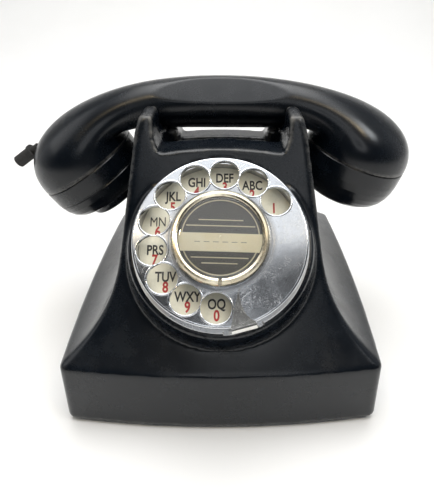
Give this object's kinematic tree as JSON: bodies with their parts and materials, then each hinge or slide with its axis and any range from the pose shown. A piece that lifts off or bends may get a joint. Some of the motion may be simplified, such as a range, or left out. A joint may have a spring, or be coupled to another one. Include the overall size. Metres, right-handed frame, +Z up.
{
  "type": "rotary telephone",
  "caption": "Black moulded table telephone with a spring-return finger-wheel dial and a lift-off handset resting in a pronged cradle.",
  "frame": {"origin": "centre of the base on the surface the feet stand on", "axes": "+Z up, +X to the right seen from the front, the dial faces -Y"},
  "size_m": [0.2183, 0.1676, 0.1443],
  "materials": {
    "bakelite": "polished",
    "base_enamel": "satin",
    "rubber": "matte",
    "steel": "satin",
    "brass": "satin",
    "plunger_brown": "satin",
    "nickel": "polished",
    "ivory_enamel": "glossy",
    "label_grey": "matte",
    "label_paper": "matte",
    "clear_cover": "polished",
    "ring_brass": "polished",
    "spring_blue": "satin",
    "fibre_red": "matte",
    "gong_brass": "polished",
    "iron": "satin",
    "coil_red": "satin",
    "magnet_red": "satin",
    "coil_wax": "satin",
    "can_grey": "satin",
    "block_black": "satin",
    "aluminium": "satin"
  },
  "bodies": {
    "telephone_base": {"body_shell": "bakelite", "base_plate": "base_enamel", "rubber_feet": "rubber", "foot_screws": "steel", "handset_cord_inlet": "rubber", "line_cord_inlet": "rubber", "plunger_guides": "brass", "plunger_springs": "steel", "switch_bracket": "steel", "lever_pin": "steel", "switch_springset": "brass", "bracket_screws": "steel", "dial_case": "nickel", "dial_frame": "brass", "number_plate": "ivory_enamel", "finger_stop": "nickel", "finger_stop_screws": "steel", "dial_case_screws": "steel", "main_spring": "spring_blue", "governor_cup": "steel", "pulse_springset": "brass", "gong_left": "gong_brass", "gong_right": "gong_brass", "gong_screws": "steel", "bell_yoke": "iron", "bell_coils": "coil_red", "bell_magnet": "magnet_red", "striker_pin": "steel", "induction_coil": "coil_wax", "capacitor": "can_grey", "capacitor_clamp": "steel", "terminal_block": "block_black", "terminal_screws": "brass"},
    "dial_wheel": {"finger_wheel": "nickel", "label_disc": "label_grey", "label_strip": "label_paper", "label_cover": "clear_cover", "label_ring": "ring_brass", "dial_spindle": "steel", "main_gear": "brass"},
    "worm_wheel_shaft": {"worm_wheel": "brass", "pulse_cam": "fibre_red"},
    "governor": {"governor_shaft": "steel", "governor_weights": "brass"},
    "left_plunger": {"plunger_left": "plunger_brown"},
    "right_plunger": {"plunger_right": "plunger_brown"},
    "switch_rocker": {"switch_lever": "brass"},
    "bell_striker": {"striker_arm": "steel"},
    "handset": {"handset_handle": "bakelite", "receiver_cap": "bakelite", "receiver_capsule": "aluminium", "transmitter_cap": "bakelite", "mouthpiece": "bakelite", "transmitter_capsule": "brass", "handset_cord_sleeve": "rubber"}
  },
  "joints": [
    {"name": "dial_spin", "type": "hinge", "parent": "telephone_base", "child": "dial_wheel", "pos_m": [0, -0.0539, 0.0933], "axis": [0, 0.6756, -0.7373], "range_deg": [0, 323], "stiffness_Nm_per_rad": 0.02},
    {"name": "worm_wheel_spin", "type": "hinge", "parent": "telephone_base", "child": "worm_wheel_shaft", "pos_m": [0, -0.04694, 0.05492], "axis": [0, -0.6756, 0.7373], "range_deg": [0, 1300]},
    {"name": "governor_spin", "type": "hinge", "parent": "telephone_base", "child": "governor", "pos_m": [0, -0.03332, 0.05722], "axis": [1, 0, 0], "range_deg": [0, 7800]},
    {"name": "handset_lift", "type": "slide", "parent": "telephone_base", "child": "handset", "axis": [0, 0, 1], "range_m": [0, 0.12]},
    {"name": "left_plunger_rise", "type": "slide", "parent": "telephone_base", "child": "left_plunger", "axis": [0, 0, 1], "range_m": [0, 0.0051]},
    {"name": "right_plunger_rise", "type": "slide", "parent": "telephone_base", "child": "right_plunger", "axis": [0, 0, 1], "range_m": [0, 0.0051]},
    {"name": "switch_rock", "type": "hinge", "parent": "telephone_base", "child": "switch_rocker", "pos_m": [0, 0.039, 0.084], "axis": [-1, 0, 0], "range_deg": [0, 12.5]},
    {"name": "striker_swing", "type": "hinge", "parent": "telephone_base", "child": "bell_striker", "pos_m": [0, 0.0105, 0.027], "axis": [0, 0, 1], "range_deg": [-3.5, 3.5], "stiffness_Nm_per_rad": 0.002}
  ],
  "couplings": [
    {"joint": "worm_wheel_spin", "follows": "dial_spin", "ratio": 4},
    {"joint": "governor_spin", "follows": "dial_spin", "ratio": 24},
    {"joint": "left_plunger_rise", "follows": "handset_lift", "ratio": 0.041667},
    {"joint": "right_plunger_rise", "follows": "handset_lift", "ratio": 0.041667},
    {"joint": "switch_rock", "follows": "handset_lift", "rad_per_m": 1.79}
  ]
}
